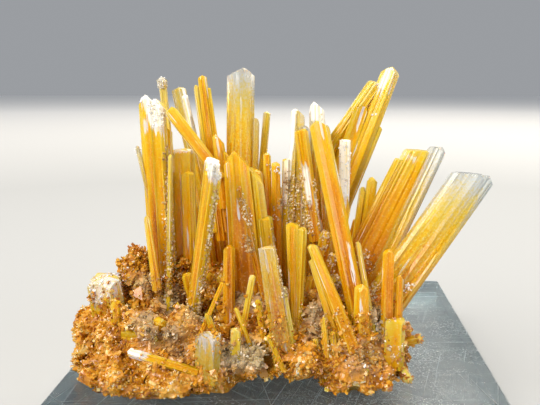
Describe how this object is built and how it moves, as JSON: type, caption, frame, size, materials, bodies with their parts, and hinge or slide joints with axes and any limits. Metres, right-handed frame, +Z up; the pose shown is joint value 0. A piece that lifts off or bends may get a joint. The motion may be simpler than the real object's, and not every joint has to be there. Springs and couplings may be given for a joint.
{
  "type": "gypsum crystal cluster on a display block",
  "caption": "Cluster of orange selenite gypsum blades rising from a drusy base, resting on a square clear acrylic display block.",
  "frame": {"origin": "centre of the block's underside, on the surface it stands on", "axes": "+Z up, +X to the right across the cluster and the block's front edge, +Y from the front of the cluster to its back"},
  "size_m": [0.1015, 0.1, 0.087],
  "materials": {
    "display_block": "clear cast acrylic, polished top with fine scratches, sawn sides",
    "drusy_base": "orange and tan drusy gypsum",
    "tall_centre_prism": "clear to cloudy selenite with iron-orange roots, striated along its length",
    "left_sheaf": "clear to cloudy selenite with iron-orange roots, striated along its length",
    "orange_needle_bundle": "clear to cloudy selenite with iron-orange roots, striated along its length",
    "broad_wedge": "clear to cloudy selenite with iron-orange roots, striated along its length",
    "pale_pair": "clear to cloudy selenite with iron-orange roots, striated along its length",
    "upper_fan": "clear to cloudy selenite with iron-orange roots, striated along its length",
    "lower_fan": "clear to cloudy selenite with iron-orange roots, striated along its length",
    "middle_fan": "clear to cloudy selenite with iron-orange roots, striated along its length",
    "long_front_blade": "clear to cloudy selenite with iron-orange roots, striated along its length",
    "sugar_capped_prism": "clear to cloudy selenite with iron-orange roots, striated along its length",
    "clear_topped_prism": "clear to cloudy selenite with iron-orange roots, striated along its length",
    "tapering_amber_prism": "clear to cloudy selenite with iron-orange roots, striated along its length",
    "front_right_blade": "clear to cloudy selenite with iron-orange roots, striated along its length",
    "round_topped_prism": "clear to cloudy selenite with iron-orange roots, striated along its length",
    "knob_tipped_prism": "clear to cloudy selenite with iron-orange roots, striated along its length",
    "pale_striated_blade": "clear to cloudy selenite with iron-orange roots, striated along its length",
    "pale_tipped_needle": "clear to cloudy selenite with iron-orange roots, striated along its length",
    "short_pale_block": "clear to cloudy selenite with iron-orange roots, striated along its length",
    "small_jagged_crystal": "clear to cloudy selenite with iron-orange roots, striated along its length",
    "amber_bundle": "clear to cloudy selenite with iron-orange roots, striated along its length",
    "back_left_blades": "clear to cloudy selenite with iron-orange roots, striated along its length",
    "back_centre_blades": "clear to cloudy selenite with iron-orange roots, striated along its length",
    "back_right_blades": "clear to cloudy selenite with iron-orange roots, striated along its length"
  },
  "bodies": {
    "root": {"display_block": "display_block", "drusy_base": "drusy_base", "tall_centre_prism": "tall_centre_prism", "left_sheaf": "left_sheaf", "orange_needle_bundle": "orange_needle_bundle", "broad_wedge": "broad_wedge", "pale_pair": "pale_pair", "upper_fan": "upper_fan", "lower_fan": "lower_fan", "middle_fan": "middle_fan", "long_front_blade": "long_front_blade", "sugar_capped_prism": "sugar_capped_prism", "clear_topped_prism": "clear_topped_prism", "tapering_amber_prism": "tapering_amber_prism", "front_right_blade": "front_right_blade", "round_topped_prism": "round_topped_prism", "knob_tipped_prism": "knob_tipped_prism", "pale_striated_blade": "pale_striated_blade", "pale_tipped_needle": "pale_tipped_needle", "short_pale_block": "short_pale_block", "small_jagged_crystal": "small_jagged_crystal", "amber_bundle": "amber_bundle", "back_left_blades": "back_left_blades", "back_centre_blades": "back_centre_blades", "back_right_blades": "back_right_blades"}
  },
  "joints": []
}
